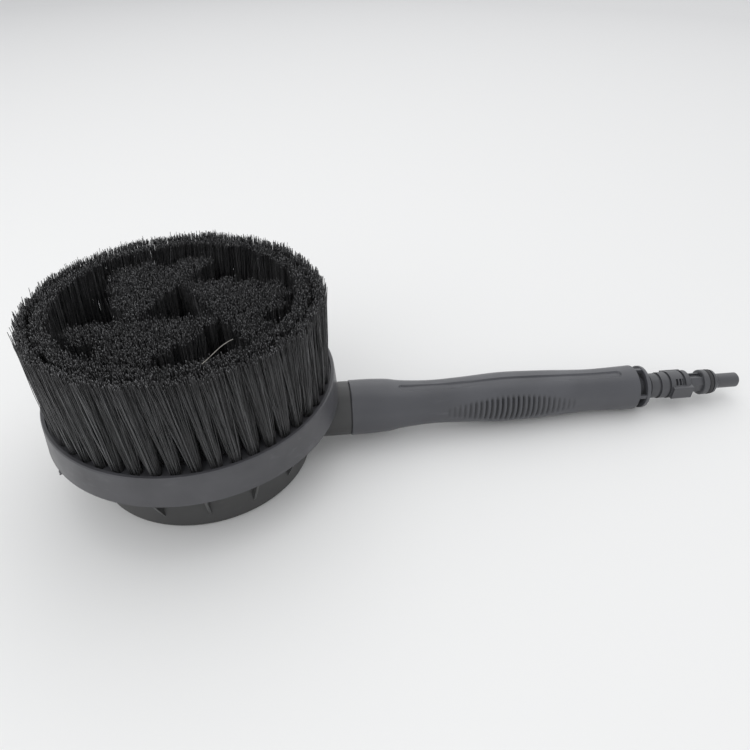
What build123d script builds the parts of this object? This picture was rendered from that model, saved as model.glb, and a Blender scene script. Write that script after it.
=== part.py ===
"""Rotating wash brush: a round brush head turned by a water turbine, on a hollow handle with a bayonet spigot.

Frame: the drum's flat back lies on the plane z = 0, the brush spins about +Z, and the handle runs
towards +X, sloping down a little until the flared end of its grip touches the same plane.
"""

import math
import os

from build123d import *

os.makedirs("parts", exist_ok=True)

# ---------------------------------------------------------------- driving dimensions, millimetres
# brush disc
rim_radius = 80.0
rim_foot_radius = 81.5
rim_foot_z = 38.2
rim_height = 17.8
rim_wall = 2.0
lip_depth = 2.5
plate_thickness = 4.0
hub_radius = 10.0

# bristles
bristle_top_z = 107.8
arm_top_z = 102.6
tuft_foot_radius = 2.8
tuft_tip_radius = 3.3
socket_depth = 2.0
outer_row_radius = 73.8
inner_row_radius = 65.6
ring_sectors = 7
outer_tufts_per_sector = 7
inner_tufts_per_sector = 6
tuft_lean = 4.0
arm_count = 3
arm_row_pitch = 8.4
arm_tuft_pitch = 9.0

# drum
drum_radius = 62.4
drum_top_radius = 63.2
drum_wall = 2.6
drum_floor = 3.0
drum_flange_radius = 77.2
drum_flange_thickness = 2.5
gusset_count = 16
gusset_foot_z = 7.0
gusset_thickness = 1.4

# handle, with stations measured along its axis from the spin axis
handle_height = 23.6
handle_slope = 1.92
neck_end = 87.5
seam_gap = 0.7
neck_radius = 16.4
grip_mouth_radius = 16.9
grip_end = 272.7
flange_start = 277.7
flange_end = 280.1
spigot_end = 348.8

# gear train
turbine_position = (30.5, -15.0)
reduction_position = (10.4, -28.1)
stage_one_module = 1.0
stage_two_module = 1.25
pinion_teeth = 12
wheel_teeth = 36
ring_teeth = 60
pressure_angle = math.radians(25.0)
tooth_play = 0.22
turbine_radius = 19.5
chamber_radius = 21.5
chamber_wall = 2.0
shaft_radius = 2.5
axle_radius = 5.0
running_gap = 0.05
cover_z = 30.0
cover_thickness = 3.0
pin_collar_height = 1.0
cover_radius = 59.8
cover_screw_radius = 53.0
cover_screw_count = 6
cover_screw_first = 25.0
cover_screw_pitch = 50.0

# ---------------------------------------------------------------- values worked out from them
lip_z = rim_foot_z + rim_height
plate_top_z = lip_z - lip_depth
plate_foot_z = plate_top_z - plate_thickness
cover_top_z = cover_z + cover_thickness
flange_z = rim_foot_z + 1.4
hub_foot_z = 38.5
cover_screw_span = cover_screw_pitch * cover_screw_count
slope = math.radians(handle_slope)
handle_direction = (math.cos(slope), 0, -math.sin(slope))
# side view of the handle: local x is the station, local y is up
handle_side = Plane(origin=(0, 0, handle_height), x_dir=handle_direction, z_dir=(0, -1, 0))
handle_axis = Axis((0, 0, handle_height), handle_direction)


def handle_plane(angle):
    """Side view of the handle turned about its axis, its local y at an angle from the top towards -Y."""
    turn = math.radians(angle)
    normal = (-math.sin(turn) * math.sin(slope), -math.cos(turn), -math.sin(turn) * math.cos(slope))
    return Plane(origin=(0, 0, handle_height), x_dir=handle_direction, z_dir=normal)


def handle_section(station):
    """Plane across the handle at a station, with local x along +Y and local y up."""
    origin = handle_side.from_local_coords((station, 0, 0))
    return Plane(origin=origin, x_dir=(0, 1, 0), z_dir=handle_direction)


def washer(radius, bore, foot_z, height, centre=(0, 0)):
    """A plain ring standing on the plane foot_z."""
    with BuildPart() as ring:
        with BuildSketch(Plane.XY.offset(foot_z)):
            with Locations(centre):
                Circle(radius)
                Circle(bore, mode=Mode.SUBTRACT)
        extrude(amount=height)
    return ring


def turned(points, plane=handle_side, axis=handle_axis):
    """A closed outline of straight lines turned about an axis."""
    with BuildPart() as body:
        with BuildSketch(plane):
            with BuildLine():
                Polyline(*points, close=True)
            make_face()
        revolve(axis=axis)
    return body


def save(piece, name):
    """Labels a finished piece and writes it as one STEP file."""
    piece.part.label = name
    export_step(piece.part, f"parts/{name}.step")


# ---------------------------------------------------------------- gear teeth
def tooth_outline(teeth, module, inner_radius, outer_radius, thinning):
    """Corner points of one involute tooth that points along +X, from its upper foot to its lower foot."""
    pitch_radius = teeth * module / 2
    base_radius = pitch_radius * math.cos(pressure_angle)
    half_angle = math.pi / (2 * teeth) - thinning / (2 * pitch_radius)
    flank_start = max(base_radius, inner_radius)
    flank = []
    steps = 4
    for step in range(steps + 1):
        radius = flank_start + (outer_radius - flank_start) * step / steps
        local_pressure = math.acos(min(1.0, base_radius / radius))
        involute = math.tan(local_pressure) - local_pressure
        pitch_involute = math.tan(pressure_angle) - pressure_angle
        angle = half_angle + pitch_involute - involute
        flank.append((radius * math.cos(angle), radius * math.sin(angle)))
    foot_angle = math.atan2(flank[0][1], flank[0][0])
    foot_radius = inner_radius - 0.3
    foot = (foot_radius * math.cos(foot_angle), foot_radius * math.sin(foot_angle))
    return foot, flank


def tooth_face(teeth, module, inner_radius, outer_radius, thinning):
    """The face of one tooth, with spline flanks."""
    foot, flank = tooth_outline(teeth, module, inner_radius, outer_radius, thinning)
    tip = flank[-1]
    with BuildSketch() as tooth:
        with BuildLine():
            Line(foot, flank[0])
            Spline(*flank)
            ThreePointArc(tip, (outer_radius, 0), (tip[0], -tip[1]))
            Spline(*[(x, -y) for x, y in flank])
            Line((flank[0][0], -flank[0][1]), (foot[0], -foot[1]))
            Line((foot[0], -foot[1]), foot)
        make_face()
    return tooth.sketch


def spur_gear(teeth, module, centre, phase, foot_z, width):
    """A stub-tooth spur gear blank with one tooth at the phase angle, in degrees."""
    pitch_radius = teeth * module / 2
    root_radius = pitch_radius - 1.1 * module
    tooth = tooth_face(teeth, module, root_radius, pitch_radius + 0.8 * module, tooth_play)
    with BuildSketch(Plane.XY.offset(foot_z)) as outline:
        with Locations(centre):
            Circle(root_radius)
            with PolarLocations(0, teeth, start_angle=phase):
                add(tooth)
    return extrude(outline.sketch, amount=width)


def bearing_angle(start, end):
    """Direction from one point to another in plan, in degrees."""
    return math.degrees(math.atan2(end[1] - start[1], end[0] - start[0]))


# ---------------------------------------------------------------- brush plate: rim, plate, hub, bosses
def ring_sector_tufts(sector):
    """Plan positions of one sector's two rows of tufts."""
    places = []
    for radius, count in ((outer_row_radius, outer_tufts_per_sector), (inner_row_radius, inner_tufts_per_sector)):
        pitch = 360.0 / (ring_sectors * count)
        for index in range(count):
            angle = math.radians(sector * 360.0 / ring_sectors + (index + 0.5) * pitch)
            places.append((radius * math.cos(angle), radius * math.sin(angle)))
    return places


def arm_tufts(arm):
    """Plan positions of the tufts in one blade-shaped patch, in straight rows that get shorter outwards."""
    turn = math.radians(arm * 360.0 / arm_count)
    places = []
    # each row runs along -X at its own y, given by its first x and its number of tufts
    for row, (first_x, count) in enumerate(((15.0, 8), (10.5, 7), (6.0, 5), (-3.5, 4), (-13.0, 2))):
        for index in range(count):
            x = first_x - index * arm_tuft_pitch
            y = -16.5 - row * arm_row_pitch
            places.append((x * math.cos(turn) - y * math.sin(turn), x * math.sin(turn) + y * math.cos(turn)))
    return places


ring_tufts = [ring_sector_tufts(sector) for sector in range(ring_sectors)]
patch_tufts = [arm_tufts(arm) for arm in range(arm_count)]
all_tufts = [place for group in ring_tufts + patch_tufts for place in group]

boss_radius = 50.0
boss_count = 4
boss_foot_z = 44.0
outlet_circle = 13.2

with BuildPart() as brush_plate:
    with BuildSketch(Plane.XZ):
        with BuildLine():
            Polyline(
                (axle_radius + 2.5, plate_foot_z),
                (axle_radius + 2.5, plate_top_z),
                (rim_radius - 2.3, plate_top_z),
                (rim_radius - rim_wall, lip_z),
                (rim_radius - 0.5, lip_z),
                (rim_radius, lip_z - 0.8),
                (rim_foot_radius, rim_foot_z),
                (rim_foot_radius - rim_wall, rim_foot_z),
                (rim_radius - rim_wall - 0.8, plate_foot_z),
                close=True,
            )
        make_face()
    revolve(axis=Axis.Z)
    # hub that hangs under the plate round the bush
    with BuildSketch(Plane.XY.offset(hub_foot_z)):
        Circle(hub_radius)
        Circle(axle_radius + 2.5, mode=Mode.SUBTRACT)
    extrude(amount=plate_foot_z - hub_foot_z)
    # bosses for the ring gear's screws, and radial stiffening ribs
    with BuildSketch(Plane.XY.offset(boss_foot_z)):
        with PolarLocations(boss_radius, boss_count, start_angle=45):
            Circle(3.8)
    extrude(amount=plate_foot_z - boss_foot_z)
    with BuildSketch(Plane.XY.offset(plate_foot_z - 3.0)):
        with PolarLocations(66.5, 12):
            Rectangle(23.0, 1.6)
    extrude(amount=3.0)
    with BuildSketch(Plane.XY.offset(boss_foot_z)):
        with PolarLocations(boss_radius, boss_count, start_angle=45):
            Circle(1.5)
    extrude(amount=6.0, mode=Mode.SUBTRACT)
    # sockets for the tufts
    with BuildSketch(Plane.XY.offset(plate_top_z - socket_depth)):
        with Locations(*all_tufts):
            Circle(tuft_foot_radius)
    extrude(amount=socket_depth + 1.0, mode=Mode.SUBTRACT)
    # outlets that let the water through to the bristles
    with BuildSketch(Plane.XY.offset(plate_foot_z - 1.0)):
        with PolarLocations(outlet_circle, 6, start_angle=30):
            Circle(1.6)
    extrude(amount=plate_thickness + 2.0, mode=Mode.SUBTRACT)
save(brush_plate, "brush_plate")

hub_bush = washer(axle_radius + 2.5, axle_radius + running_gap, hub_foot_z, plate_top_z - hub_foot_z)
save(hub_bush, "hub_bush")

with BuildPart() as hub_cap:
    with BuildSketch(Plane.XZ):
        with BuildLine():
            Polyline(
                (9.5, plate_top_z), (11.0, plate_top_z), (11.0, 60.0), (9.6, 61.5), (0, 61.5), (0, 60.0),
                (9.0, 60.0), (9.5, 59.5), close=True,
            )
        make_face()
    revolve(axis=Axis.Z)
save(hub_cap, "hub_cap")

# ---------------------------------------------------------------- ring gear and its screws
stage_two_angle = bearing_angle((0, 0), reduction_position)
ring_pitch_radius = ring_teeth * stage_two_module / 2
ring_tip_radius = ring_pitch_radius - 0.8 * stage_two_module
ring_root_radius = ring_pitch_radius + 1.1 * stage_two_module
space = tooth_face(ring_teeth, stage_two_module, ring_tip_radius, ring_root_radius, -tooth_play)

with BuildPart() as ring_gear:
    with BuildSketch(Plane.XY.offset(38.5)):
        Circle(ring_root_radius + 4.0)
    extrude(amount=7.5)
    with BuildSketch(Plane.XY.offset(41.0)):
        Circle(boss_radius + 4.5)
    extrude(amount=boss_foot_z - 41.0)
    with BuildSketch(Plane.XY.offset(38.0)):
        Circle(ring_tip_radius)
        with PolarLocations(0, ring_teeth, start_angle=stage_two_angle):
            add(space)
    extrude(amount=10.0, mode=Mode.SUBTRACT)
    with BuildSketch(Plane.XY.offset(40.0)):
        with PolarLocations(boss_radius, boss_count, start_angle=45):
            Circle(1.7)
    extrude(amount=5.0, mode=Mode.SUBTRACT)
save(ring_gear, "ring_gear")

with BuildPart() as ring_gear_screws:
    with BuildSketch(Plane.XY.offset(39.4)):
        with PolarLocations(boss_radius, boss_count, start_angle=45):
            Circle(2.8)
    extrude(amount=1.6)
    with BuildSketch(Plane.XY.offset(41.0)):
        with PolarLocations(boss_radius, boss_count, start_angle=45):
            Circle(1.45)
    extrude(amount=8.5)
    with BuildSketch(Plane.XY.offset(39.4)):
        with PolarLocations(boss_radius, boss_count, start_angle=45):
            Rectangle(3.4, 0.7)
            Rectangle(0.7, 3.4)
    extrude(amount=0.9, mode=Mode.SUBTRACT)
save(ring_gear_screws, "ring_gear_screws")


# ---------------------------------------------------------------- bristle tufts
def tuft_group(places, top_z, lean):
    """A group of separate tufts: round roots in the sockets, then bundles that widen and lean round the axis."""
    with BuildPart() as group:
        for x, y in places:
            radius = math.hypot(x, y)
            around = (-y / radius, x / radius)
            with BuildSketch(Plane.XY.offset(plate_top_z - socket_depth)):
                with Locations((x, y)):
                    Circle(tuft_foot_radius - 0.05)
            extrude(amount=socket_depth)
            with BuildSketch(Plane.XY.offset(plate_top_z)):
                with Locations((x, y)):
                    Circle(tuft_foot_radius - 0.05)
            with BuildSketch(Plane.XY.offset(top_z)):
                with Locations((x - around[0] * lean, y - around[1] * lean)):
                    Circle(tuft_tip_radius)
            loft(ruled=True)
    return group


for sector in range(ring_sectors):
    bristle_sector = tuft_group(ring_tufts[sector], bristle_top_z, tuft_lean)
    save(bristle_sector, f"bristle_ring_{sector + 1}")

for arm in range(arm_count):
    bristle_patch = tuft_group(patch_tufts[arm], arm_top_z, 0.0)
    save(bristle_patch, f"bristle_arm_{arm + 1}")

# ---------------------------------------------------------------- gear housing: drum, flange, gussets, neck
axle_boss_radius = 10.0
axle_foot_radius = 7.0
bush_radius = 4.5
foot_post_radius = 7.0
foot_post_height = 5.0
neck_start = 60.6
grip_socket_start = 68.0
grip_socket_radius = 14.0
carrier_start = 47.5
carrier_end = 76.0
carrier_radius = 9.5
tube_radius = 6.9
tube_bore = 4.6
tube_start = 58.5
nozzle_start = 50.0
gasket_thickness = 0.6

with BuildPart() as gear_housing:
    with BuildSketch(Plane.XZ):
        with BuildLine():
            Polyline(
                (0, 0),
                (drum_radius - 1.5, 0),
                (drum_radius, 1.5),
                (drum_top_radius, flange_z),
                (drum_flange_radius, flange_z),
                (drum_flange_radius, flange_z + drum_flange_thickness),
                (drum_top_radius - drum_wall, flange_z + drum_flange_thickness),
                (drum_radius - drum_wall, drum_floor),
                (0, drum_floor),
                close=True,
            )
        make_face()
    revolve(axis=Axis.Z)
    # gussets between the drum's wall and the flange
    for index in range(gusset_count):
        turn = Plane.XZ.rotated((0, 0, index * 360.0 / gusset_count + 5.5))
        with BuildSketch(turn):
            with BuildLine():
                Polyline(
                    (drum_radius - 0.5, gusset_foot_z),
                    (drum_flange_radius - 0.6, flange_z + 0.1),
                    (drum_radius - 0.5, flange_z + 0.1),
                    close=True,
                )
            make_face()
        extrude(amount=gusset_thickness / 2, both=True)
    # neck
    with BuildSketch(handle_side):
        with BuildLine():
            Polyline((neck_start, 0), (neck_start, neck_radius), (neck_end, neck_radius), (neck_end, 0),
                     close=True)
        make_face()
    revolve(axis=handle_axis)
    # posts inside the drum: centre axle, cover screws, turbine chamber, foot bush
    with BuildSketch(Plane.XY.offset(1.0)):
        Circle(axle_boss_radius)
        with PolarLocations(cover_screw_radius, cover_screw_count, cover_screw_first, cover_screw_span):
            Circle(4.5)
        with Locations(turbine_position):
            Circle(chamber_radius + chamber_wall)
    extrude(amount=cover_z - 1.0)
    # carrier for the jet nozzle and the front end of the water tube
    with BuildSketch(handle_side):
        with BuildLine():
            Polyline((carrier_start, 0), (carrier_start, carrier_radius), (carrier_end, carrier_radius),
                     (carrier_end, 0), close=True)
        make_face()
    revolve(axis=handle_axis)
    # turbine chamber, with a post in its floor for the foot bush
    with BuildSketch(Plane.XY.offset(drum_floor)):
        with Locations(turbine_position):
            Circle(chamber_radius)
            Circle(foot_post_radius, mode=Mode.SUBTRACT)
    extrude(amount=foot_post_height, mode=Mode.SUBTRACT)
    with BuildSketch(Plane.XY.offset(drum_floor + foot_post_height)):
        with Locations(turbine_position):
            Circle(chamber_radius)
    extrude(amount=cover_z, mode=Mode.SUBTRACT)
    # flat top of the carrier under the cover, and the gasket's seat round the chamber
    with BuildSketch(Plane.XY.offset(cover_z)):
        Circle(cover_radius)
    extrude(amount=5.0, mode=Mode.SUBTRACT)
    with BuildSketch(Plane.XY.offset(cover_z - gasket_thickness)):
        with Locations(turbine_position):
            Circle(chamber_radius + chamber_wall)
    extrude(amount=1.0, mode=Mode.SUBTRACT)
    # bores along the handle: jet channel, nozzle seat, tube socket, grip socket
    with BuildSketch(handle_side):
        with BuildLine():
            Polyline(
                (40.0, 0), (40.0, 2.0), (nozzle_start, 2.0), (nozzle_start, 5.0), (nozzle_start + 6.0, 5.0),
                (nozzle_start + 6.0, tube_radius), (carrier_end, tube_radius), (carrier_end, 0), close=True,
            )
        make_face()
    revolve(axis=handle_axis, mode=Mode.SUBTRACT)
    with BuildSketch(handle_side):
        with BuildLine():
            Polyline(
                (grip_socket_start, carrier_radius), (grip_socket_start, grip_socket_radius),
                (neck_end + 1, grip_socket_radius), (neck_end + 1, 0), (carrier_end, 0),
                (carrier_end, carrier_radius), close=True,
            )
        make_face()
    revolve(axis=handle_axis, mode=Mode.SUBTRACT)
    # bores for the axle, the turbine's foot bush and the cover screws
    with BuildSketch(Plane.XY.offset(4.0)):
        Circle(axle_foot_radius)
        with Locations(turbine_position):
            Circle(bush_radius)
    extrude(amount=cover_z, mode=Mode.SUBTRACT)
    with BuildSketch(Plane.XY.offset(14.0)):
        with PolarLocations(cover_screw_radius, cover_screw_count, cover_screw_first, cover_screw_span):
            Circle(1.5)
    extrude(amount=cover_z, mode=Mode.SUBTRACT)
save(gear_housing, "gear_housing")

# ---------------------------------------------------------------- chamber cover, gasket, screws
with BuildPart() as chamber_cover:
    with BuildSketch(Plane.XY.offset(cover_z)):
        Circle(cover_radius)
        Circle(axle_foot_radius + 0.1, mode=Mode.SUBTRACT)
        with PolarLocations(cover_screw_radius, cover_screw_count, cover_screw_first, cover_screw_span):
            Circle(1.7, mode=Mode.SUBTRACT)
        with Locations(turbine_position):
            Circle(bush_radius, mode=Mode.SUBTRACT)
        with Locations(reduction_position):
            Circle(shaft_radius, mode=Mode.SUBTRACT)
        # outlets over the turbine chamber, on the side away from the gears
        with Locations(turbine_position):
            with PolarLocations(15.0, 3, start_angle=0, angular_range=70):
                Circle(3.0, mode=Mode.SUBTRACT)
    extrude(amount=cover_thickness)
    # collar that grips the foot of the reduction gear's pin
    with BuildSketch(Plane.XY.offset(cover_top_z)):
        with Locations(reduction_position):
            Circle(4.6)
            Circle(shaft_radius, mode=Mode.SUBTRACT)
    extrude(amount=pin_collar_height)
save(chamber_cover, "chamber_cover")

chamber_gasket = washer(chamber_radius + chamber_wall, chamber_radius, cover_z - gasket_thickness,
                        gasket_thickness, turbine_position)
save(chamber_gasket, "chamber_gasket")

with BuildPart() as cover_screws:
    with BuildSketch(Plane.XY.offset(cover_top_z - 15.0)):
        with PolarLocations(cover_screw_radius, cover_screw_count, cover_screw_first, cover_screw_span):
            Circle(1.45)
    extrude(amount=15.0)
    with BuildSketch(Plane.XY.offset(cover_top_z)):
        with PolarLocations(cover_screw_radius, cover_screw_count, cover_screw_first, cover_screw_span):
            Circle(2.9)
    extrude(amount=2.0)
    with BuildSketch(Plane.XY.offset(cover_top_z + 1.0)):
        with PolarLocations(cover_screw_radius, cover_screw_count, cover_screw_first, cover_screw_span):
            Rectangle(3.6, 0.7)
            Rectangle(0.7, 3.6)
    extrude(amount=1.0, mode=Mode.SUBTRACT)
save(cover_screws, "cover_screws")

# ---------------------------------------------------------------- centre axle and what holds the brush on it
shoulder_z = 37.4
axle_top_z = plate_top_z + 0.3

with BuildPart() as centre_axle:
    with BuildSketch(Plane.XY.offset(4.0)):
        Circle(axle_foot_radius)
    extrude(amount=shoulder_z - 4.0)
    with BuildSketch(Plane.XY.offset(shoulder_z)):
        Circle(axle_radius)
    extrude(amount=axle_top_z - shoulder_z)
    with BuildSketch(Plane.XY.offset(axle_top_z - 12.0)):
        Circle(2.0)
    extrude(amount=12.0, mode=Mode.SUBTRACT)
save(centre_axle, "centre_axle")

thrust_washer = washer(9.0, axle_radius, shoulder_z, 1.0)
save(thrust_washer, "thrust_washer")

retaining_washer = washer(8.2, 2.2, axle_top_z, 1.2)
save(retaining_washer, "retaining_washer")

with BuildPart() as retaining_screw:
    with BuildSketch(Plane.XY.offset(axle_top_z - 11.0)):
        Circle(1.95)
    extrude(amount=12.2)
    with BuildSketch(Plane.XY.offset(axle_top_z + 1.2)):
        Circle(4.2)
    extrude(amount=3.4)
    with BuildSketch(Plane.XY.offset(axle_top_z + 2.6)):
        RegularPolygon(1.7, 6)
    extrude(amount=2.0, mode=Mode.SUBTRACT)
save(retaining_screw, "retaining_screw")

# ---------------------------------------------------------------- turbine
vane_count = 12
vane_foot_z = 12.0
vane_top_z = 26.4

with BuildPart() as turbine_wheel:
    with BuildSketch(Plane.XY.offset(vane_foot_z)):
        with Locations(turbine_position):
            Circle(5.5)
            with PolarLocations(0, vane_count):
                with Locations((12.2, 0)):
                    Rectangle(14.4, 1.3, rotation=0)
    extrude(amount=vane_top_z - vane_foot_z)
    with BuildSketch(Plane.XY.offset(vane_foot_z)):
        with Locations(turbine_position):
            Circle(turbine_radius - 1.5)
    extrude(amount=1.6)
    with BuildSketch(Plane.XY.offset(vane_foot_z - 1.0)):
        with Locations(turbine_position):
            Circle(shaft_radius)
    extrude(amount=20.0, mode=Mode.SUBTRACT)
save(turbine_wheel, "turbine_wheel")

stage_one_z = 34.6
stage_one_width = 3.2
with BuildPart() as turbine_shaft:
    with BuildSketch(Plane.XY.offset(4.2)):
        with Locations(turbine_position):
            Circle(shaft_radius)
    extrude(amount=stage_one_z + stage_one_width - 4.2)
save(turbine_shaft, "turbine_shaft")

pinion_phase = bearing_angle(turbine_position, reduction_position)
pinion_blank = spur_gear(pinion_teeth, stage_one_module, turbine_position, pinion_phase, stage_one_z, stage_one_width)
with BuildPart() as turbine_pinion:
    add(pinion_blank)
    with BuildSketch(Plane.XY.offset(stage_one_z - 1.0)):
        with Locations(turbine_position):
            Circle(shaft_radius)
    extrude(amount=10.0, mode=Mode.SUBTRACT)
save(turbine_pinion, "turbine_pinion")

turbine_foot_bush = washer(bush_radius, shaft_radius + running_gap, 4.0, 4.0, turbine_position)
save(turbine_foot_bush, "turbine_foot_bush")

turbine_head_bush = washer(bush_radius, shaft_radius + running_gap, cover_z + 1.0, cover_thickness, turbine_position)
save(turbine_head_bush, "turbine_head_bush")

shaft_seal = washer(bush_radius, shaft_radius + running_gap, cover_z, 1.0, turbine_position)
save(shaft_seal, "shaft_seal")

# ---------------------------------------------------------------- reduction gear on its pin
stage_two_z = 38.6
stage_two_top_z = 46.2
wheel_phase = bearing_angle(reduction_position, turbine_position) + 180.0 / wheel_teeth
wheel_blank = spur_gear(wheel_teeth, stage_one_module, reduction_position, wheel_phase, stage_one_z, stage_one_width)
step_blank = spur_gear(pinion_teeth, stage_two_module, reduction_position, stage_two_angle, stage_two_z,
                       stage_two_top_z - stage_two_z)
with BuildPart() as reduction_gear:
    add(wheel_blank)
    add(step_blank)
    with BuildSketch(Plane.XY.offset(stage_one_z - 0.3)):
        with Locations(reduction_position):
            Circle(5.6)
    extrude(amount=stage_two_z - stage_one_z + 0.3)
    with BuildSketch(Plane.XY.offset(30.0)):
        with Locations(reduction_position):
            Circle(shaft_radius + running_gap)
    extrude(amount=20.0, mode=Mode.SUBTRACT)
save(reduction_gear, "reduction_gear")

with BuildPart() as reduction_pin:
    with BuildSketch(Plane.XY.offset(cover_z)):
        with Locations(reduction_position):
            Circle(shaft_radius)
    extrude(amount=stage_two_top_z + 1.4 - cover_z)
save(reduction_pin, "reduction_pin")

reduction_clip = washer(4.0, shaft_radius, stage_two_top_z + 0.4, 0.8, reduction_position)
save(reduction_clip, "reduction_clip")

# ---------------------------------------------------------------- water path
jet_nozzle = turned([
    (nozzle_start, 1.25), (nozzle_start, 5.0), (nozzle_start + 6.0, 5.0), (nozzle_start + 6.0, tube_radius),
    (nozzle_start + 8.0, tube_radius), (nozzle_start + 8.0, 3.6), (nozzle_start + 4.0, 1.25),
])
save(jet_nozzle, "jet_nozzle")

tube_end = 275.0
water_tube = turned([
    (tube_start, tube_bore), (tube_start, tube_radius), (tube_start + 4.0, tube_radius),
    (tube_start + 4.0, 5.9), (tube_start + 5.6, 5.9), (tube_start + 5.6, tube_radius),
    (tube_end - 5.6, tube_radius), (tube_end - 5.6, 5.9), (tube_end - 4.0, 5.9), (tube_end - 4.0, tube_radius),
    (tube_end, tube_radius), (tube_end, tube_bore),
])
save(water_tube, "water_tube")

for name, groove_start in (("tube_front_o_ring", tube_start + 4.0), ("tube_rear_o_ring", tube_end - 5.6)):
    tube_seal = turned([
        (groove_start, 5.9), (groove_start, tube_radius), (groove_start + 1.6, tube_radius),
        (groove_start + 1.6, 5.9),
    ])
    save(tube_seal, name)

grip_spigot_radius = grip_socket_radius - 0.1
neck_gasket = turned([
    (neck_end, grip_spigot_radius), (neck_end, neck_radius - 0.7), (neck_end + seam_gap, neck_radius - 0.7),
    (neck_end + seam_gap, grip_spigot_radius),
])
save(neck_gasket, "neck_gasket")

# ---------------------------------------------------------------- grip
groove_count = 25
groove_start = 148.0
groove_pitch = 3.34
groove_width = 1.9
groove_depth = 0.7
rib_band_centre = 84.0
recess_angle = 9.0
slot_start = 118.0
slot_end = 262.0
slot_width = 4.6
slot_depth = 1.0
window_angle = 80.0
window_first = -2.0
grip_spigot_start = 77.0
grip_start = neck_end + seam_gap
grip_core = 8.0
end_bore = 11.0
end_bore_start = 262.0


def skin_face(inset):
    """Half section of the grip's outside, from its axis to a skin lowered by the inset."""
    with BuildSketch() as section:
        with BuildLine():
            Line((grip_start, 0), (grip_start, grip_mouth_radius - inset))
            Line((grip_start, grip_mouth_radius - inset), (104.0, 16.7 - inset))
            Spline(
                (104.0, 16.7 - inset), (113.0, 16.0 - inset), (118.0, 15.1 - inset), (130.0, 14.0 - inset),
                (141.0, 13.6 - inset), (158.0, 14.2 - inset), (184.5, 15.6 - inset), (214.0, 14.9 - inset),
                (245.0, 13.6 - inset), (262.0, 14.0 - inset), (grip_end, 14.4 - inset),
                tangents=[(1, -0.03), (1, 0.03)],
            )
            Line((grip_end, 14.4 - inset), (grip_end, 0))
            Line((grip_end, 0), (grip_start, 0))
        make_face()
    return section.sketch


# cutter for the long recess along the top: it stops at a skin lowered by the recess's depth
with BuildPart() as top_recess:
    with BuildSketch(handle_plane(recess_angle - 90.0)):
        with Locations(((slot_start + slot_end) / 2, 0)):
            SlotOverall(slot_end - slot_start, slot_width)
    extrude(amount=20.0)
    with BuildSketch(handle_side):
        add(skin_face(slot_depth))
    revolve(axis=handle_axis, mode=Mode.SUBTRACT)

# cutter for the finger ribs: grooves whose length and depth swell towards the middle of the row
with BuildPart() as rib_grooves:
    for index in range(groove_count):
        station = groove_start + index * groove_pitch
        swell = math.sin(math.pi * (index + 0.5) / groove_count)
        half_arc = 14.0 + 22.0 * swell
        with BuildSketch(handle_plane(rib_band_centre - half_arc)):
            with Locations((station, 10.0)):
                Rectangle(groove_width, 20.0)
            add(skin_face(groove_depth * (0.4 + 0.6 * swell)), mode=Mode.SUBTRACT)
        revolve(axis=handle_axis, revolution_arc=2 * half_arc)
far_rib_grooves = mirror(rib_grooves.part, about=Plane.XZ)

with BuildPart() as grip:
    with BuildSketch(handle_side):
        add(skin_face(0.0))
    revolve(axis=handle_axis)
    fillet(grip.edges().filter_by(GeomType.CIRCLE).sort_by(Axis.X)[0], radius=0.5)
    fillet(grip.edges().filter_by(GeomType.CIRCLE).sort_by(Axis.X)[-1], radius=0.8)
    # spigot that fits in the neck, and the flange ring past the windows
    with BuildSketch(handle_side):
        with Locations(((grip_spigot_start + grip_start) / 2 + 1, grip_spigot_radius / 2)):
            Rectangle(grip_start - grip_spigot_start + 2, grip_spigot_radius)
        with Locations(((grip_end + flange_end) / 2 - 1, 13.2 / 2)):
            Rectangle(flange_end - grip_end + 2, 13.2)
        with Locations(((flange_start + flange_end) / 2, 13.7 / 2)):
            Rectangle(flange_end - flange_start, 13.7)
    revolve(axis=handle_axis)
    # long recess with rounded ends along the top
    add(top_recess.part, mode=Mode.SUBTRACT)
    # finger ribs on both sides
    add(rib_grooves.part, mode=Mode.SUBTRACT)
    add(far_rib_grooves, mode=Mode.SUBTRACT)
    # bores and end windows
    with BuildSketch(handle_side):
        with Locations((180.0, grip_core / 2)):
            Rectangle(240.0, grip_core)
        with Locations(((end_bore_start + flange_end + 1) / 2, end_bore / 2)):
            Rectangle(flange_end + 1 - end_bore_start, end_bore)
    revolve(axis=handle_axis, mode=Mode.SUBTRACT)
    for quarter in range(4):
        with BuildSketch(handle_plane(quarter * 90.0 + window_first)):
            with Locations(((grip_end + flange_start) / 2, 12.5)):
                Rectangle(flange_start - grip_end, 5.0)
        revolve(axis=handle_axis, revolution_arc=window_angle, mode=Mode.SUBTRACT)
save(grip, "grip")

# ---------------------------------------------------------------- bayonet spigot
root_end = 276.0
barrel_end = 311.2
shank_width = 12.0
collar_start = 321.3
seal_start = 325.2
seal_end = 328.4
seal_depth = 5.1
tip_start = 333.6
tip_radius = 4.8
tip_bore = 2.2
tip_bore_start = 343.0
lug_start = 298.0
lug_length = 13.7
lug_reach = 10.2
lug_height = 8.4

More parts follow.
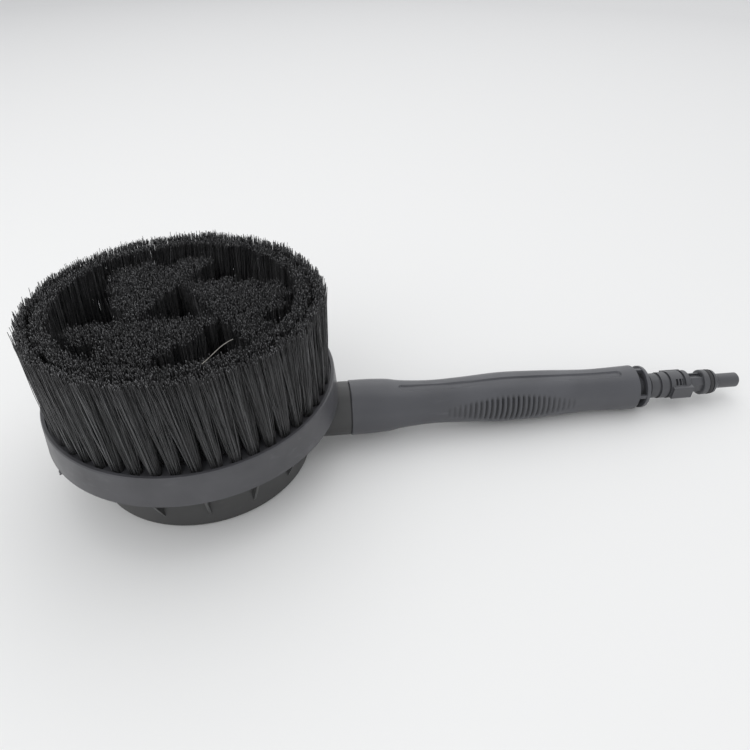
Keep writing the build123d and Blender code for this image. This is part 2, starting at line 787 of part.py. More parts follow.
with BuildPart() as bayonet_spigot:
    with BuildSketch(handle_side):
        with BuildLine():
            Polyline(
                (end_bore_start, 0), (end_bore_start, end_bore - 0.1),
                # waist under the grip's windows
                (271.0, end_bore - 0.1), (271.0, 8.4), (278.2, 8.4), (278.2, end_bore - 0.1),
                (flange_end, end_bore - 0.1), (flange_end, 8.1),
                # barrel with its grooves and bands
                (283.6, 8.1), (283.9, 7.6), (284.2, 8.1), (289.4, 8.1), (289.4, 7.4), (290.9, 7.4),
                (290.9, 8.5), (295.9, 8.5), (295.9, 7.6), (297.3, 7.6), (297.3, 8.8), (305.9, 8.8),
                (305.9, 7.4), (307.5, 7.4), (307.5, 8.8), (barrel_end - 0.8, 8.8), (barrel_end, 8.2),
                (barrel_end, 4.4),
                # collar, seat of the sealing ring, domed flange and tip
                (collar_start, 4.4), (collar_start, 7.7), (collar_start + 0.5, 8.2), (seal_start - 0.4, 8.2),
                (seal_start, 7.8), (seal_start, seal_depth), (seal_end, seal_depth), (seal_end, 8.1),
                (seal_end + 1.6, 7.8), (seal_end + 3.4, 6.2), (tip_start, tip_radius),
                (spigot_end - 0.9, tip_radius), (spigot_end, tip_radius - 0.9), (spigot_end, 0), close=True,
            )
        make_face()
    revolve(axis=handle_axis)
    # square shank with broad corner flats between the barrel and the collar, grooved above and below
    with BuildSketch(handle_section(barrel_end - 0.5)) as shank:
        Rectangle(shank_width, shank_width)
        chamfer(shank.vertices(), length=3.4)
        with GridLocations(0, shank_width, 1, 2):
            Rectangle(3.6, 2.4, mode=Mode.SUBTRACT)
    extrude(amount=collar_start - barrel_end + 1.0)
    # two opposed bayonet lugs
    with BuildSketch(handle_section(lug_start)) as lugs:
        Rectangle(2 * lug_reach, lug_height)
        fillet(lugs.vertices(), radius=0.5)
    extrude(amount=lug_length)
    # row of small pockets over each lug
    for side in (0.0, 180.0):
        with BuildSketch(handle_plane(side + 30.0)):
            with Locations((301.2, 9.2), (303.5, 9.2), (305.6, 9.2)):
                Rectangle(1.5, 4.4)
        revolve(axis=handle_axis, revolution_arc=28.0, mode=Mode.SUBTRACT)
    # water way
    with BuildSketch(handle_side):
        with Locations(((end_bore_start + root_end) / 2, tube_radius / 2)):
            Rectangle(root_end - end_bore_start, tube_radius)
        with Locations(((root_end + tip_bore_start) / 2 - 1, 1.4)):
            Rectangle(tip_bore_start - root_end + 2, 2.8)
        with Locations(((tip_bore_start + spigot_end) / 2, tip_bore / 2)):
            Rectangle(spigot_end - tip_bore_start + 2, tip_bore)
    revolve(axis=handle_axis, mode=Mode.SUBTRACT)
save(bayonet_spigot, "bayonet_spigot")

with BuildPart() as spigot_o_ring:
    with BuildSketch(handle_side):
        with Locations(((seal_start + seal_end) / 2, seal_depth + (seal_end - seal_start) / 2)):
            Circle((seal_end - seal_start) / 2 - 0.05)
    revolve(axis=handle_axis)
save(spigot_o_ring, "spigot_o_ring")
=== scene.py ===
"""Rotating wash brush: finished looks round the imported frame, in metres and in the model's own frame."""
import math

import bpy
import numpy as np
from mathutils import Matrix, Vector


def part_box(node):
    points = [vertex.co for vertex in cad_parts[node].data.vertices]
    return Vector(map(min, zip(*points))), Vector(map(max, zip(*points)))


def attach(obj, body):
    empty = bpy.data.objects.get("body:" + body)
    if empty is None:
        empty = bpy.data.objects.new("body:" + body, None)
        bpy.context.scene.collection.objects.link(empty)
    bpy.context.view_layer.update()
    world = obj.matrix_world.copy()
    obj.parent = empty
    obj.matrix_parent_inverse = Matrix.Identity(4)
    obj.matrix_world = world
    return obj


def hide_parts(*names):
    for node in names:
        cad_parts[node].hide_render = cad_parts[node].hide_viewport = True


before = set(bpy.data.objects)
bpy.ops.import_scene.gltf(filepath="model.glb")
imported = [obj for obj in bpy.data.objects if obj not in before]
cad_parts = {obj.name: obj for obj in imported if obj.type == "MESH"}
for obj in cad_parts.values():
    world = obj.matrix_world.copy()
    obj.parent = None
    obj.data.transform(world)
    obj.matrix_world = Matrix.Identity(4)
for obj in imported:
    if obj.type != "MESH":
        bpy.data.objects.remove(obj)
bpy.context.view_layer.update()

# ---------------------------------------------------------------- studio: camera, floor and light
# The camera stands in front, a little right of the brush head, and looks down on it. The floor is a matt pale
# board with a painted pool of light: its colour is brightest round a point just front left of the brush and
# darkens with distance from it. A wide soft lamp lights it from behind and a weaker one from front left.
camera_data = bpy.data.cameras.new("studio_camera")
camera_data.sensor_width = 36.0
camera_data.lens = 30.24
camera = bpy.data.objects.new("studio_camera", camera_data)
camera.location = (0.0607, -0.2954, 0.2717)
camera.rotation_euler = (math.radians(52.66), math.radians(0.18), math.radians(-8.50))
bpy.context.collection.objects.link(camera)
bpy.context.scene.camera = camera
bpy.context.scene.view_settings.view_transform = "Standard"

bpy.ops.object.select_all(action="DESELECT")
bpy.ops.mesh.primitive_plane_add(size=16.0, location=(0.0, 0.0, -0.0002))
floor = bpy.context.object
floor.name = "studio_floor"

board = bpy.data.materials.new("pale_board")
board.use_nodes = True
board_shader = board.node_tree.nodes["Principled BSDF"]
board_place = board.node_tree.nodes.new("ShaderNodeTexCoord")
board_spread = board.node_tree.nodes.new("ShaderNodeMapping")
board_spread.inputs["Location"].default_value = (0.10, 0.05, 0.0)
board_spread.inputs["Scale"].default_value = (0.45, 0.45, 0.45)
# painted pool of light: the board's colour is paler near a point by the brush and darker away from it
board_light_pool = board.node_tree.nodes.new("ShaderNodeTexGradient")
board_light_pool.gradient_type = "SPHERICAL"
board_tone = board.node_tree.nodes.new("ShaderNodeMix")
board_tone.data_type = "RGBA"
board_tone.inputs["A"].default_value = (0.62, 0.62, 0.62, 1.0)
board_tone.inputs["B"].default_value = (0.90, 0.90, 0.89, 1.0)
board.node_tree.links.new(board_place.outputs["Object"], board_spread.inputs["Vector"])
board.node_tree.links.new(board_spread.outputs["Vector"], board_light_pool.inputs["Vector"])
board.node_tree.links.new(board_light_pool.outputs["Fac"], board_tone.inputs["Factor"])
board.node_tree.links.new(board_tone.outputs["Result"], board_shader.inputs["Base Color"])
board_shader.inputs["Roughness"].default_value = 0.75
board_shader.inputs["Specular IOR Level"].default_value = 0.05
floor.data.materials.append(board)

world = bpy.data.worlds.new("studio_world")
bpy.context.scene.world = world
world.use_nodes = True
world.node_tree.nodes["Background"].inputs["Color"].default_value = (0.97, 0.98, 1.0, 1.0)
world.node_tree.nodes["Background"].inputs["Strength"].default_value = 0.77


def soft_lamp(name, place, target, size, power):
    """A square area lamp that faces a target."""
    lamp_data = bpy.data.lights.new(name, "AREA")
    lamp_data.size = size
    lamp_data.energy = power
    lamp = bpy.data.objects.new(name, lamp_data)
    lamp.location = place
    lamp.rotation_euler = (Vector(target) - Vector(place)).to_track_quat("-Z", "Y").to_euler()
    bpy.context.collection.objects.link(lamp)


soft_lamp("back_lamp", (0.8, 1.3, 1.9), (0.1, 0.0, 0.0), 3.6, 25.0)
soft_lamp("front_lamp", (-1.0, -1.3, 1.6), (0.0, -0.1, 0.0), 2.0, 11.0)


# ---------------------------------------------------------------- drum housing
# One black moulding: drum, gussets, flange and neck stub, with a fine spark-eroded grain. Its shape is the
# model's own, and only its material is new.
def moulded_plastic(name, colour, roughness, grain=0.12, mottle=0.10, scuff=0.25, specular=0.5):
    """Moulded plastic: fine grain, faintly cloudy colour and gloss, and thin pale rub marks."""
    material = bpy.data.materials.new(name)
    material.use_nodes = True
    nodes = material.node_tree.nodes
    links = material.node_tree.links
    shader = nodes["Principled BSDF"]
    shader.inputs["Specular IOR Level"].default_value = specular
    place = nodes.new("ShaderNodeTexCoord")

    def cloud(scale, detail, stretch=(1.0, 1.0, 1.0)):
        along = nodes.new("ShaderNodeMapping")
        along.inputs["Scale"].default_value = stretch
        links.new(place.outputs["Object"], along.inputs["Vector"])
        texture = nodes.new("ShaderNodeTexNoise")
        texture.inputs["Scale"].default_value = scale
        texture.inputs["Detail"].default_value = detail
        links.new(along.outputs["Vector"], texture.inputs["Vector"])
        return texture.outputs["Fac"]

    def ranged(source, start, end, low, high):
        span = nodes.new("ShaderNodeMapRange")
        span.inputs["From Min"].default_value = start
        span.inputs["From Max"].default_value = end
        span.inputs["To Min"].default_value = low
        span.inputs["To Max"].default_value = high
        links.new(source, span.inputs["Value"])
        return span.outputs["Result"]

    def blend(factor, under, over):
        mix = nodes.new("ShaderNodeMix")
        mix.data_type = "RGBA"
        links.new(factor, mix.inputs["Factor"])
        for socket, value in (("A", under), ("B", over)):
            if isinstance(value, tuple):
                mix.inputs[socket].default_value = value
            else:
                links.new(value, mix.inputs[socket])
        return mix.outputs["Result"]

    dark = (*[channel * (1.0 - mottle) for channel in colour], 1.0)
    light = (*[channel * (1.0 + mottle) for channel in colour], 1.0)
    rubbed = (*[channel * 1.9 + 0.012 for channel in colour], 1.0)
    clouds = blend(ranged(cloud(38.0, 5.0), 0.3, 0.7, 0.0, 1.0), dark, light)
    rubs = cloud(260.0, 7.0, (0.35, 1.0, 1.6))
    patches = ranged(cloud(22.0, 3.0), 0.50, 0.72, 0.0, scuff)
    worn = nodes.new("ShaderNodeMath")
    worn.operation = "MULTIPLY"
    links.new(ranged(rubs, 0.54, 0.70, 0.0, 1.0), worn.inputs[0])
    links.new(patches, worn.inputs[1])
    links.new(blend(worn.outputs["Value"], clouds, rubbed), shader.inputs["Base Color"])
    gloss = ranged(cloud(60.0, 6.0), 0.3, 0.7, roughness - 0.06, roughness + 0.06)
    links.new(gloss, shader.inputs["Roughness"])
    bump = nodes.new("ShaderNodeBump")
    bump.inputs["Strength"].default_value = grain
    bump.inputs["Distance"].default_value = 0.0001
    links.new(cloud(2600.0, 2.0), bump.inputs["Height"])
    links.new(bump.outputs["Normal"], shader.inputs["Normal"])
    return material


def dress(node, material):
    """Gives a carried-over node one material."""
    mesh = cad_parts[node].data
    mesh.materials.clear()
    mesh.materials.append(material)


drum_plastic = moulded_plastic("drum_plastic", (0.048, 0.048, 0.048), 0.40)
dress("gear_housing", drum_plastic)

# ---------------------------------------------------------------- brush plate and hub cap
# The turning disc: a satin charcoal rim with a rounded lip, and the plate that holds the tufts. The rim takes
# the knocks, so its plastic is more mottled and rubbed than the drum's.
rim_plastic = moulded_plastic("rim_plastic", (0.064, 0.064, 0.070), 0.38, mottle=0.20, scuff=0.60)
for node in ("brush_plate", "hub_cap"):
    dress(node, rim_plastic)

# ---------------------------------------------------------------- moulding burr
# A small hooked scrap of flash left on the rim's lower edge where the mould parts, in the rim's plastic. Its
# foot is sunk in the rim, and it hangs down in three shrinking steps that are then rounded.
burr_angle = math.radians(-144.0)
burr_radius = 0.0806
bpy.ops.object.select_all(action="DESELECT")
bpy.ops.mesh.primitive_cylinder_add(
    vertices=10, radius=0.0015, depth=0.0016,
    location=(burr_radius * math.cos(burr_angle), burr_radius * math.sin(burr_angle), 0.0378),
)
burr = bpy.context.object
burr.name = "rim_burr"
bpy.ops.object.mode_set(mode="EDIT")
bpy.ops.mesh.select_all(action="DESELECT")
bpy.ops.object.mode_set(mode="OBJECT")
for face in burr.data.polygons:
    face.select = face.normal.z < -0.9
bpy.ops.object.mode_set(mode="EDIT")
for drift, shrink in ((-0.0002, 0.8), (-0.0005, 0.65), (-0.0006, 0.5)):
    bpy.ops.mesh.extrude_region_move(TRANSFORM_OT_translate={"value": (drift, drift * 0.4, -0.0006)})
    bpy.ops.transform.resize(value=(shrink, shrink, shrink))
bpy.ops.object.mode_set(mode="OBJECT")
bpy.ops.object.modifier_add(type="SUBSURF")
burr.modifiers["Subdivision"].levels = 2
burr.modifiers["Subdivision"].render_levels = 2
bpy.ops.object.modifier_apply(modifier="Subdivision")
bpy.ops.object.transform_apply(location=True, rotation=True, scale=True)
bpy.ops.object.shade_smooth()
burr.data.materials.append(rim_plastic)
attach(burr, "brush")

# ---------------------------------------------------------------- bristles
# Black nylon filaments, folded and stapled into round sockets. Each tuft is tight at its foot and opens out
# until it meets its neighbours, and the ring's tufts all lean one way round the disc.
plate_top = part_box("bristle_ring_1")[0][2] + 0.002
ring_tip_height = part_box("bristle_ring_1")[1][2]
arm_tip_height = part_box("bristle_arm_1")[1][2]
strands_per_tuft = 118
strand_radius = 0.00021
tuft_foot = 0.0027
socket_depth = 0.0015

# one strand: a three-sided rod of unit height with a cut tip
bpy.ops.object.select_all(action="DESELECT")
bpy.ops.mesh.primitive_circle_add(vertices=3, radius=1.0, fill_type="NOTHING")
strand = bpy.context.object
bpy.ops.object.mode_set(mode="EDIT")
for rise in (0.16, 0.30, 0.36, 0.165, 0.015):
    bpy.ops.mesh.extrude_region_move(TRANSFORM_OT_translate={"value": (0.0, 0.0, rise)})
bpy.ops.mesh.edge_face_add()
bpy.ops.object.mode_set(mode="OBJECT")
strand_points = np.array([vertex.co[:] for vertex in strand.data.vertices])
strand_faces = [tuple(face.vertices) for face in strand.data.polygons]
bpy.data.objects.remove(strand)


def bristle_plastic():
    """Black nylon: each strand has its own shade; the top end of every strand carries painted shade, and some
    cut tips carry a painted highlight.
    """
    material = bpy.data.materials.new("bristle_nylon")
    material.use_nodes = True
    nodes = material.node_tree.nodes
    links = material.node_tree.links
    shader = nodes["Principled BSDF"]
    shade = nodes.new("ShaderNodeAttribute")
    shade.attribute_name = "shade"
    tint = nodes.new("ShaderNodeMix")
    tint.data_type = "RGBA"
    tint.inputs["A"].default_value = (0.007, 0.007, 0.0075, 1.0)
    tint.inputs["B"].default_value = (0.24, 0.24, 0.245, 1.0)
    links.new(shade.outputs["Fac"], tint.inputs["Factor"])
    links.new(tint.outputs["Result"], shader.inputs["Base Color"])
    shader.inputs["Roughness"].default_value = 0.36
    shader.inputs["Specular IOR Level"].default_value = 0.5
    return material


nylon = bristle_plastic()


def tuft_strands(rng, foot, tip_height, lean, flare):
    """Points and shades of one tuft. flare is how far the tips open along the radius and across it."""
    count = strands_per_tuft
    radius = math.hypot(foot[0], foot[1])
    outward = np.array((foot[0], foot[1])) / radius
    around = np.array((-outward[1], outward[0]))
    spread = np.sqrt((np.arange(count) + 0.5) / count)
    turn = np.arange(count) * 2.39996 + rng.uniform(0.0, math.tau)
    across = spread * np.cos(turn)
    along = spread * np.sin(turn)
    wild = rng.random(count) < 0.13
    stray = rng.normal(0.0, 1.0, (count, 2)) * np.where(wild, 0.0024, 0.0007)[:, None]
    stray[:, 0] = np.minimum(stray[:, 0], 0.0016)
    tuft_tilt = rng.normal(0.0, 0.0006, 2)
    tip_across = across * flare[0] + stray[:, 0] + tuft_tilt[0]
    tip_along = along * flare[1] + stray[:, 1] + tuft_tilt[1] - lean
    height = tip_height - plate_top + rng.normal(-0.0003, 0.0004, count) - rng.exponential(0.0005, count)
    proud = rng.random(count) < 0.05
    height = height + proud * rng.uniform(0.0004, 0.0027, count)
    t = strand_points[:, 2]
    bow = rng.normal(0.0, 0.0006, (count, 2))
    size = strand_radius * rng.uniform(0.8, 1.15, count)
    opening = t ** 1.1
    bulge = 1.0 + 0.12 * np.sin(np.pi * np.minimum(t / 0.2, 1.0))
    arch = np.sin(np.pi * t)
    rooted = tuft_foot * bulge * (1.0 - opening)
    radial = across[:, None] * rooted + tip_across[:, None] * opening + bow[:, :1] * arch
    sideways = along[:, None] * rooted + tip_along[:, None] * opening + bow[:, 1:] * arch
    spin = rng.uniform(0.0, math.tau, count)[:, None]
    rod_x = strand_points[:, 0] * np.cos(spin) - strand_points[:, 1] * np.sin(spin)
    rod_y = strand_points[:, 0] * np.sin(spin) + strand_points[:, 1] * np.cos(spin)
    taper = 1.0 - 0.2 * t
    x = foot[0] + radial * outward[0] + sideways * around[0] + rod_x * size[:, None] * taper
    y = foot[1] + radial * outward[1] + sideways * around[1] + rod_y * size[:, None] * taper
    z = plate_top - socket_depth + (height[:, None] + socket_depth) * t
    pale = (rng.random(count) < 0.07) * rng.uniform(0.1, 0.4, count)
    shade = np.clip(rng.normal(0.25, 0.10, count) + pale, 0.0, 1.0)
    # painted highlight: about a third of the strands get a lighter colour at their cut tip
    tip_highlight = (rng.random(count) < 0.35) * rng.uniform(0.2, 1.0, count)
    # painted shade: the top end of every strand is darkened to 55 per cent of its colour
    shaded_end = np.where(t > 0.95, 0.55, 1.0)
    shades = shade[:, None] * shaded_end + np.where(t > 0.99, tip_highlight[:, None], 0.0)
    return np.stack((x, y, z), axis=-1).reshape(-1, 3), shades.reshape(-1)


def bristle_piece(name, node, seed, tufts):
    """One piece of bristles from tufts given as (foot, tip height, lean, flare)."""
    rng = np.random.default_rng(seed)
    parts = [tuft_strands(rng, *tuft) for tuft in tufts]
    points = np.concatenate([part[0] for part in parts])
    shades = np.concatenate([part[1] for part in parts])
    strands = len(points) // len(strand_points)
    corners = np.concatenate([np.array(face) for face in strand_faces])
    starts = np.cumsum([0] + [len(face) for face in strand_faces])[:-1]
    offsets = np.arange(strands) * len(strand_points)
    all_corners = (corners[None, :] + offsets[:, None]).reshape(-1)
    all_starts = (starts[None, :] + (np.arange(strands) * len(corners))[:, None]).reshape(-1)
    mesh = bpy.data.meshes.new(name)
    mesh.vertices.add(len(points))
    mesh.vertices.foreach_set("co", points.reshape(-1))
    mesh.loops.add(len(all_corners))
    mesh.loops.foreach_set("vertex_index", all_corners)
    mesh.polygons.add(len(all_starts))
    mesh.polygons.foreach_set("loop_start", all_starts)
    mesh.update(calc_edges=True)
    mesh.attributes.new("shade", "FLOAT", "POINT").data.foreach_set("value", shades)
    mesh.materials.append(nylon)
    piece = bpy.data.objects.new(name, mesh)
    bpy.context.collection.objects.link(piece)
    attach(piece, "brush")
    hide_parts(node)


ring_sectors = 7
ring_rows = ((0.0738, 7, (0.0030, 0.0054)), (0.0656, 6, (0.0042, 0.0060)))
for sector in range(ring_sectors):
    tufts = []
    for row_radius, count, flare in ring_rows:
        for index in range(count):
            angle = math.tau * (sector + (index + 0.5) / count) / ring_sectors
            foot = (row_radius * math.cos(angle), row_radius * math.sin(angle))
            tufts.append((foot, ring_tip_height, 0.0042, flare))
    bristle_piece(f"ring_bristles_{sector + 1}", f"bristle_ring_{sector + 1}", 100 + sector, tufts)

arm_rows = ((0.0150, 8), (0.0105, 7), (0.0060, 5), (-0.0035, 4), (-0.0130, 2))
arm_tuft_pitch = 0.0090
arm_row_pitch = 0.0084
arm_first_y = -0.0165
for arm in range(3):
    turn = math.tau * arm / 3
    tufts = []
    for row, (first_x, count) in enumerate(arm_rows):
        for index in range(count):
            x = first_x - index * arm_tuft_pitch
            y = arm_first_y - row * arm_row_pitch
            foot = (x * math.cos(turn) - y * math.sin(turn), x * math.sin(turn) + y * math.cos(turn))
            tufts.append((foot, arm_tip_height, 0.0, (0.0056, 0.0056)))
    bristle_piece(f"arm_bristles_{arm + 1}", f"bristle_arm_{arm + 1}", 200 + arm, tufts)

# ---------------------------------------------------------------- loose bristle
# One shed filament, paler than the other strands, that lies in a shallow curve across the tips. It is a thin
# round rod along one bent run, and it turns with the brush.
loose_pale = bpy.data.materials.new("pale_nylon")
loose_pale.use_nodes = True
loose_shader = loose_pale.node_tree.nodes["Principled BSDF"]
loose_tone = loose_pale.node_tree.nodes.new("ShaderNodeTexNoise")
loose_tone.inputs["Scale"].default_value = 180.0
loose_mix = loose_pale.node_tree.nodes.new("ShaderNodeMix")
loose_mix.data_type = "RGBA"
loose_mix.inputs["A"].default_value = (0.16, 0.15, 0.13, 1.0)
loose_mix.inputs["B"].default_value = (0.42, 0.40, 0.36, 1.0)
loose_pale.node_tree.links.new(loose_tone.outputs["Fac"], loose_mix.inputs["Factor"])
loose_pale.node_tree.links.new(loose_mix.outputs["Result"], loose_shader.inputs["Base Color"])
loose_shader.inputs["Roughness"].default_value = 0.4
loose_start = Vector((0.0180, -0.0640, 0.1082))
loose_end = Vector((0.0310, -0.0470, 0.1086))
loose_bow = Vector((-0.0016, 0.0014, 0.0004))
bpy.ops.object.select_all(action="DESELECT")
bpy.ops.curve.primitive_bezier_curve_add(location=(0.0, 0.0, 0.0))
loose = bpy.context.object
loose.name = "loose_bristle"
loose_third = (loose_end - loose_start) / 3.0
near, far = loose.data.splines[0].bezier_points
near.co = loose_start
far.co = loose_end
near.handle_left = loose_start - loose_third
near.handle_right = loose_start + loose_third + loose_bow
far.handle_left = loose_end - loose_third + loose_bow
far.handle_right = loose_end + loose_third
loose.data.bevel_depth = 0.00017
loose.data.bevel_resolution = 1
loose.data.resolution_u = 16
loose.data.use_fill_caps = True
bpy.ops.object.convert(target="MESH")
loose = bpy.context.object
loose.data.materials.append(loose_pale)
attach(loose, "brush")

# ---------------------------------------------------------------- grip
# Charcoal moulding slipped on the neck: a smooth collar, a waisted handle with finger ribs on both sides,
# a long shallow recess on top, and a flared end with four windows behind a thin flange.
handle_height = 0.0236
handle_slope = math.radians(1.92)
mouth = 0.0882
grip_end = 0.2727
flange_start = 0.2777
flange_end = 0.2801
ring_seat = 0.0110
mouth_bore = 0.0139
columns = 180

rib_groove_depth = 0.0012
recess_floor_depth = 0.0010

skin_stations = np.array((
    mouth, 0.104, 0.113, 0.118, 0.130, 0.141, 0.158, 0.1845, 0.214, 0.245, 0.262, grip_end,
))
skin_radii = np.array((
    0.0169, 0.0167, 0.0160, 0.0151, 0.0140, 0.0136, 0.0142, 0.0156, 0.0149, 0.0136, 0.0140, 0.0144,
))


def skin(stations):
    """Smooth radius through the skin's points: cubic runs with the slopes of their neighbours."""
    slopes = np.gradient(skin_radii, skin_stations)
    run = np.clip(np.searchsorted(skin_stations, stations) - 1, 0, len(skin_stations) - 2)
    step = skin_stations[run + 1] - skin_stations[run]
    t = (stations - skin_stations[run]) / step
    return (
        (1 + 2 * t) * (1 - t) ** 2 * skin_radii[run] + t * (1 - t) ** 2 * step * slopes[run]
        + t ** 2 * (3 - 2 * t) * skin_radii[run + 1] + t ** 2 * (t - 1) * step * slopes[run + 1]
    )


def ramp(value, low, high):
    """Smooth step from 0 to 1 between two values."""
    t = np.clip((value - low) / (high - low), 0.0, 1.0)
    return t * t * (3.0 - 2.0 * t)


def rib_depth(stations, angles):
    """Depth of the finger ribs' grooves: they swell towards the middle of the row and fade at their ends."""
    first, pitch, count = 0.148, 0.00334, 25
    phase = (stations - first) / pitch
    along = np.clip((phase + 0.5) / count, 0.0, 1.0)
    swell = np.sin(np.pi * along)
    groove = (0.5 + 0.5 * np.cos(math.tau * phase)) ** 1.6
    half_arc = np.radians(17.0 + 22.0 * swell)
    depth = 0.0
    for side in (-1.0, 1.0):
        away = np.abs(angles - side * math.radians(84.0))
        depth = depth + rib_groove_depth * (0.3 + 0.7 * swell) * groove * ramp(half_arc - away, 0.0, 0.22)
    return depth * (along > 0.0) * (along < 1.0)


def recess_depth(stations, angles, radii):
    """Depth of the long recess: flat floor, soft edges and round ends."""
    half_width, start, end = 0.0023, 0.118, 0.262
    past = np.maximum(np.maximum(start + half_width - stations, stations - end + half_width), 0.0)
    edge = half_width - np.hypot(past, (angles - math.radians(9.0)) * radii)
    return recess_floor_depth * ramp(edge, -0.0001, 0.0003)


# rows of points along the grip: mouth, skin, window band, flange, then back along the bore, with the share of
# painted groove shade at each point
column_angles = np.radians(-2.0 + np.arange(columns) * 360.0 / columns)
wrapped = (column_angles + math.pi) % math.tau - math.pi
rows = [(mouth, np.full(columns, 0.0164)), (mouth + 0.00015, np.full(columns, 0.01675))]
groove_shade = [np.zeros(columns), np.zeros(columns)]
for station in np.arange(mouth + 0.0005, grip_end - 0.0005, 0.0004):
    radius = skin(station)
    ribs = rib_depth(station, wrapped)
    rows.append((station, radius - ribs - recess_depth(station, wrapped, radius)))
    groove_shade.append(ribs / rib_groove_depth)
for station, radius in (
    (grip_end - 0.0003, 0.0143), (grip_end, 0.0139), (grip_end, 0.0132), (flange_start, 0.0132),
    (flange_start, 0.0134), (flange_start + 0.0003, 0.0137), (flange_end - 0.0008, 0.0137),
    (flange_end - 0.0002, 0.01345), (flange_end, 0.0130), (flange_end, ring_seat), (flange_start, ring_seat),
    (grip_end, ring_seat), (0.262, ring_seat), (mouth, mouth_bore),
):
    rows.append((station, np.full(columns, radius)))
    groove_shade.append(np.zeros(columns))
outer_window_row = len(rows) - 12
inner_window_row = len(rows) - 4
window_columns = 40
quarter_columns = columns // 4


def grip_point(station, radius, angle):
    """Place in the model of a point on the handle, by station, radius and angle from the top."""
    along = (math.cos(handle_slope), 0.0, -math.sin(handle_slope))
    up = (math.sin(handle_slope), 0.0, math.cos(handle_slope))
    side = -radius * np.sin(angle)
    rise = radius * np.cos(angle)
    x = station * along[0] + rise * up[0]
    z = handle_height + station * along[2] + rise * up[2]
    return np.stack((x, side, z), -1)


def window_edge(row, first, steps):
    """Numbers of the points along one edge of a window."""
    return [row * columns + (first + step) % columns for step in steps]


points = np.concatenate([grip_point(station, radius, column_angles) for station, radius in rows])
faces = []
for row in range(len(rows)):
    here = row * columns
    after = (row + 1) % len(rows) * columns
    for column in range(columns):
        beside = (column + 1) % columns
        opened = row in (outer_window_row, inner_window_row) and column % quarter_columns < window_columns
        if not opened:
            faces.append((here + column, here + beside, after + beside, after + column))
# walls round each window, from the skin to the bore
window_steps = range(window_columns + 1)
for quarter in range(4):
    first = quarter * quarter_columns
    rim = window_edge(outer_window_row, first, window_steps)
    rim += window_edge(outer_window_row + 1, first, reversed(window_steps))
    seat = window_edge(inner_window_row + 1, first, window_steps)
    seat += window_edge(inner_window_row, first, reversed(window_steps))
    for step in range(len(rim)):
        beside = (step + 1) % len(rim)
        faces.append((rim[step], rim[beside], seat[beside], seat[step]))
mesh = bpy.data.meshes.new("handle_grip")
mesh.from_pydata(points.tolist(), [], faces)
grip = bpy.data.objects.new("handle_grip", mesh)
bpy.context.collection.objects.link(grip)
bpy.ops.object.select_all(action="DESELECT")
bpy.context.view_layer.objects.active = grip
grip.select_set(True)
bpy.ops.object.mode_set(mode="EDIT")
bpy.ops.mesh.select_all(action="SELECT")
bpy.ops.mesh.normals_make_consistent(inside=False)
bpy.ops.object.mode_set(mode="OBJECT")
bpy.ops.object.shade_smooth_by_angle(angle=math.radians(35.0))
mesh.attributes.new("groove_shade", "FLOAT", "POINT").data.foreach_set("value", np.concatenate(groove_shade))
# painted shade: the plastic is darkened in the finger ribs' grooves, more where a groove is deeper
grip_plastic = moulded_plastic("grip_plastic", (0.072, 0.0735, 0.082), 0.36)
grip_nodes = grip_plastic.node_tree.nodes
grip_colour = grip_nodes["Principled BSDF"].inputs["Base Color"]
grip_groove_shade = grip_nodes.new("ShaderNodeAttribute")
grip_groove_shade.attribute_name = "groove_shade"
grip_shaded_grooves = grip_nodes.new("ShaderNodeMix")
grip_shaded_grooves.data_type = "RGBA"
grip_shaded_grooves.inputs["B"].default_value = (0.016, 0.016, 0.018, 1.0)
grip_plastic.node_tree.links.new(grip_colour.links[0].from_socket, grip_shaded_grooves.inputs["A"])
grip_plastic.node_tree.links.new(grip_groove_shade.outputs["Fac"], grip_shaded_grooves.inputs["Factor"])
grip_plastic.node_tree.links.new(grip_shaded_grooves.outputs["Result"], grip_colour)
mesh.materials.append(grip_plastic)
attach(grip, "handle")
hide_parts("grip")

# ---------------------------------------------------------------- bayonet spigot and the seals
# A charcoal moulding pressed in the grip's end, in the model's own shape. Its O-ring, the neck gasket and the
# seals inside are one soft matt rubber.
spigot_plastic = moulded_plastic("spigot_plastic", (0.066, 0.067, 0.073), 0.38)
dress("bayonet_spigot", spigot_plastic)

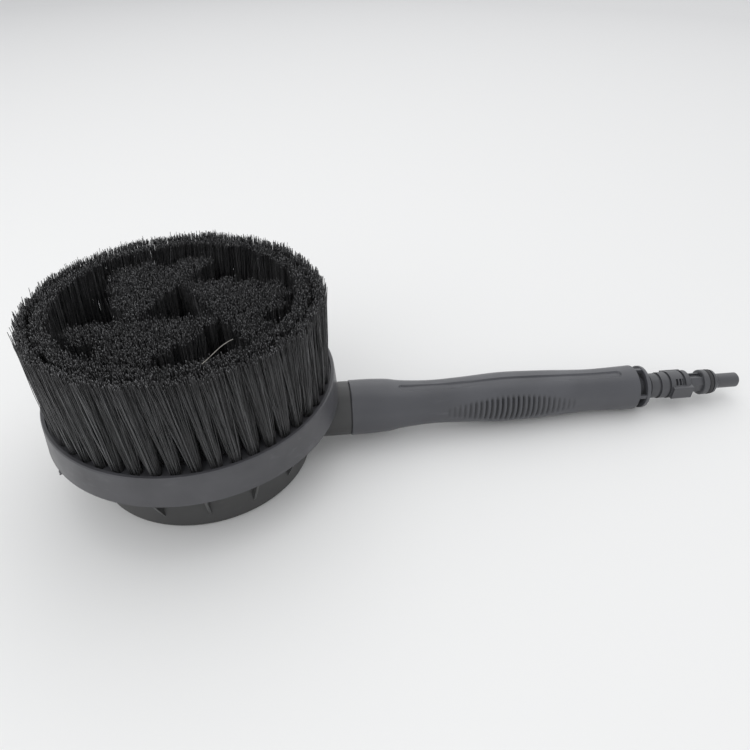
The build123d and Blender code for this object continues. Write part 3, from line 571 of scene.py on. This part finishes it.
sealing_rubber = moulded_plastic("sealing_rubber", (0.026, 0.026, 0.028), 0.55, grain=0.2)
for node in (
    "spigot_o_ring", "neck_gasket", "tube_front_o_ring", "tube_rear_o_ring", "chamber_gasket", "shaft_seal",
):
    dress(node, sealing_rubber)

# ---------------------------------------------------------------- works inside the drum and the handle
# Pale grey turbine parts and water tube, ivory gears, turned steel pins and screws, and brass bushes. All
# keep the model's own shapes, and the closed drum and handle hide them.
inner_plastic = moulded_plastic("inner_plastic", (0.30, 0.31, 0.32), 0.45)
for node in ("chamber_cover", "turbine_wheel", "jet_nozzle", "water_tube"):
    dress(node, inner_plastic)
gear_plastic = moulded_plastic("gear_plastic", (0.62, 0.59, 0.50), 0.42)
for node in ("ring_gear", "reduction_gear", "turbine_pinion"):
    dress(node, gear_plastic)


def turned_metal(name, colour, roughness):
    """Turned metal: bare, with fine uneven polish."""
    material = bpy.data.materials.new(name)
    material.use_nodes = True
    nodes = material.node_tree.nodes
    links = material.node_tree.links
    shader = nodes["Principled BSDF"]
    shader.inputs["Base Color"].default_value = (*colour, 1.0)
    shader.inputs["Metallic"].default_value = 1.0
    place = nodes.new("ShaderNodeTexCoord")
    polish = nodes.new("ShaderNodeTexNoise")
    polish.inputs["Scale"].default_value = 900.0
    polish.inputs["Detail"].default_value = 4.0
    links.new(place.outputs["Object"], polish.inputs["Vector"])
    span = nodes.new("ShaderNodeMapRange")
    span.inputs["To Min"].default_value = roughness - 0.08
    span.inputs["To Max"].default_value = roughness + 0.10
    links.new(polish.outputs["Fac"], span.inputs["Value"])
    links.new(span.outputs["Result"], shader.inputs["Roughness"])
    return material


steel = turned_metal("turned_steel", (0.56, 0.57, 0.58), 0.30)
for node in (
    "centre_axle", "thrust_washer", "retaining_washer", "retaining_screw", "reduction_pin", "reduction_clip",
    "turbine_shaft", "cover_screws", "ring_gear_screws",
):
    dress(node, steel)
brass = turned_metal("turned_brass", (0.72, 0.53, 0.24), 0.30)
for node in ("hub_bush", "turbine_foot_bush", "turbine_head_bush"):
    dress(node, brass)
